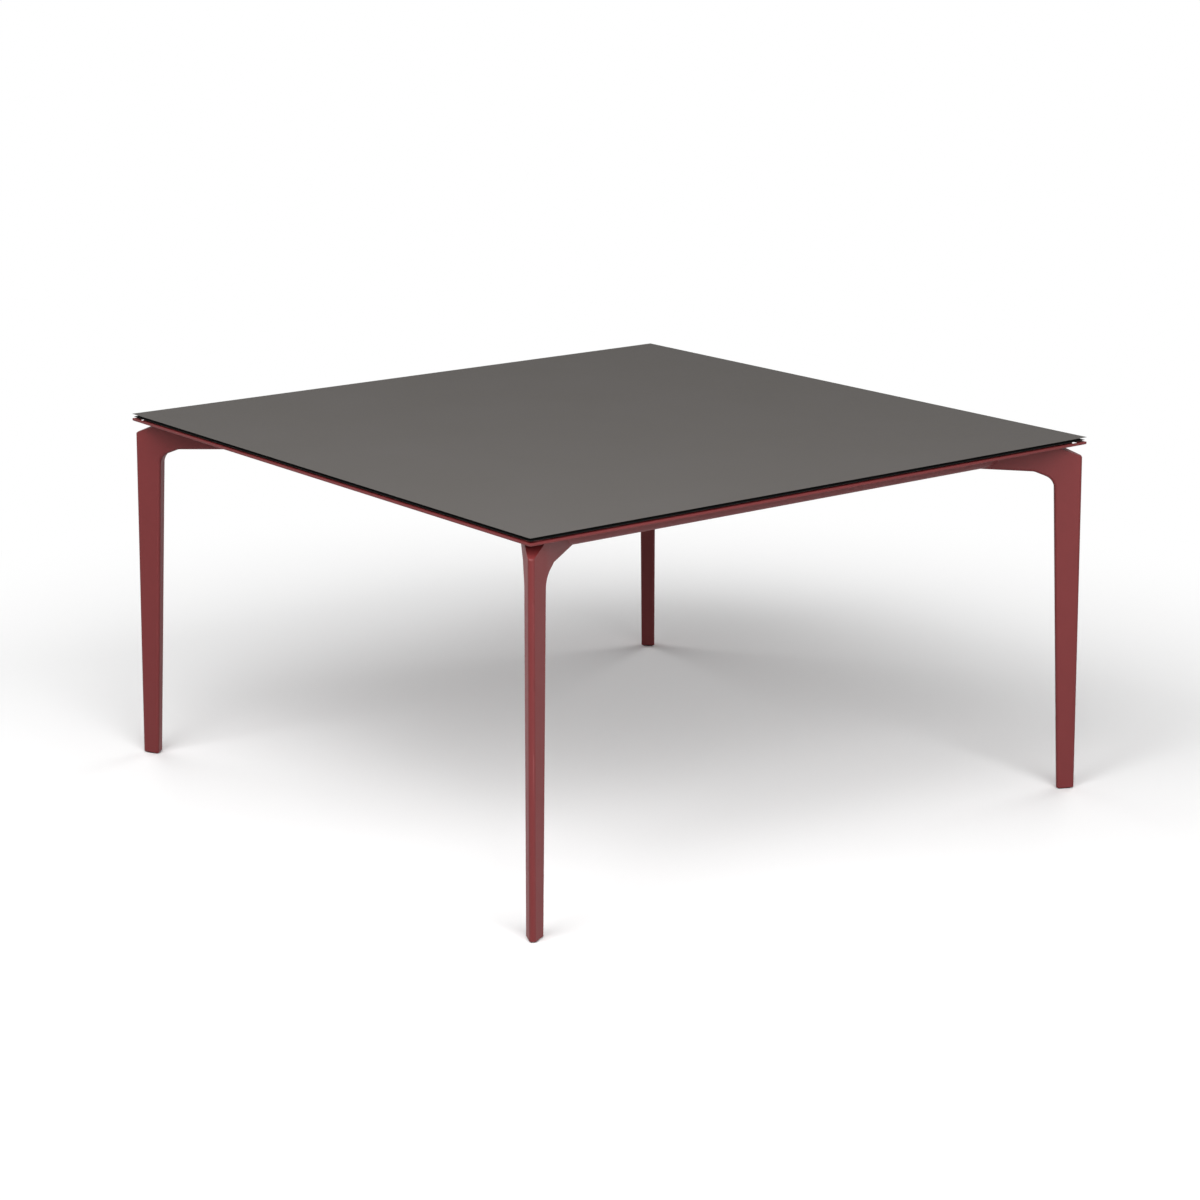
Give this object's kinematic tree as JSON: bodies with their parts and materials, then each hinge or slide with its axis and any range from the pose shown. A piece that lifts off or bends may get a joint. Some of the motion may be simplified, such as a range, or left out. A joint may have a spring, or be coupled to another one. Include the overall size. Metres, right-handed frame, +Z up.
{
  "type": "square dining table",
  "caption": "Square dining table with a thin slab top on a slim rimmed rail frame and tapering cast corner legs that splay slightly outwards.",
  "frame": {"origin": "on the floor, under the centre of the slab", "axes": "+Z up, X and Y along the sides of the slab, -Y towards the side called front"},
  "size_m": [1.4118, 1.4118, 0.745],
  "materials": {
    "compact_laminate": "solid compact laminate, matte warm dark grey face on a black core",
    "powder_coat": "aluminium with a matte oxide red powder coat, fine grained",
    "bare_aluminium": "bare milled aluminium",
    "stainless_steel": "plain stainless steel",
    "brass": "turned brass",
    "rubber": "black rubber",
    "nylon": "black nylon"
  },
  "bodies": {
    "root": {"bracket_back_left": "stainless_steel", "bracket_back_right": "stainless_steel", "bracket_front_left": "stainless_steel", "bracket_front_right": "stainless_steel", "bracket_screws": "stainless_steel", "cross_rail_left": "powder_coat", "cross_rail_right": "powder_coat", "end_block_back_a": "bare_aluminium", "end_block_back_b": "bare_aluminium", "end_block_front_a": "bare_aluminium", "end_block_front_b": "bare_aluminium", "end_block_left_a": "bare_aluminium", "end_block_left_b": "bare_aluminium", "end_block_right_a": "bare_aluminium", "end_block_right_b": "bare_aluminium", "flange_screws": "stainless_steel", "foot_glide_back_left": "nylon", "foot_glide_back_right": "nylon", "foot_glide_front_left": "nylon", "foot_glide_front_right": "nylon", "leg_back_left": "powder_coat", "leg_back_right": "powder_coat", "leg_bolts": "stainless_steel", "leg_front_left": "powder_coat", "leg_front_right": "powder_coat", "leg_washers": "stainless_steel", "rail_back": "powder_coat", "rail_front": "powder_coat", "rail_left": "powder_coat", "rail_right": "powder_coat", "spacer_washers": "rubber", "support_pads": "rubber", "tabletop": "compact_laminate", "tabletop_inserts": "brass", "tabletop_screws": "stainless_steel"}
  },
  "joints": []
}
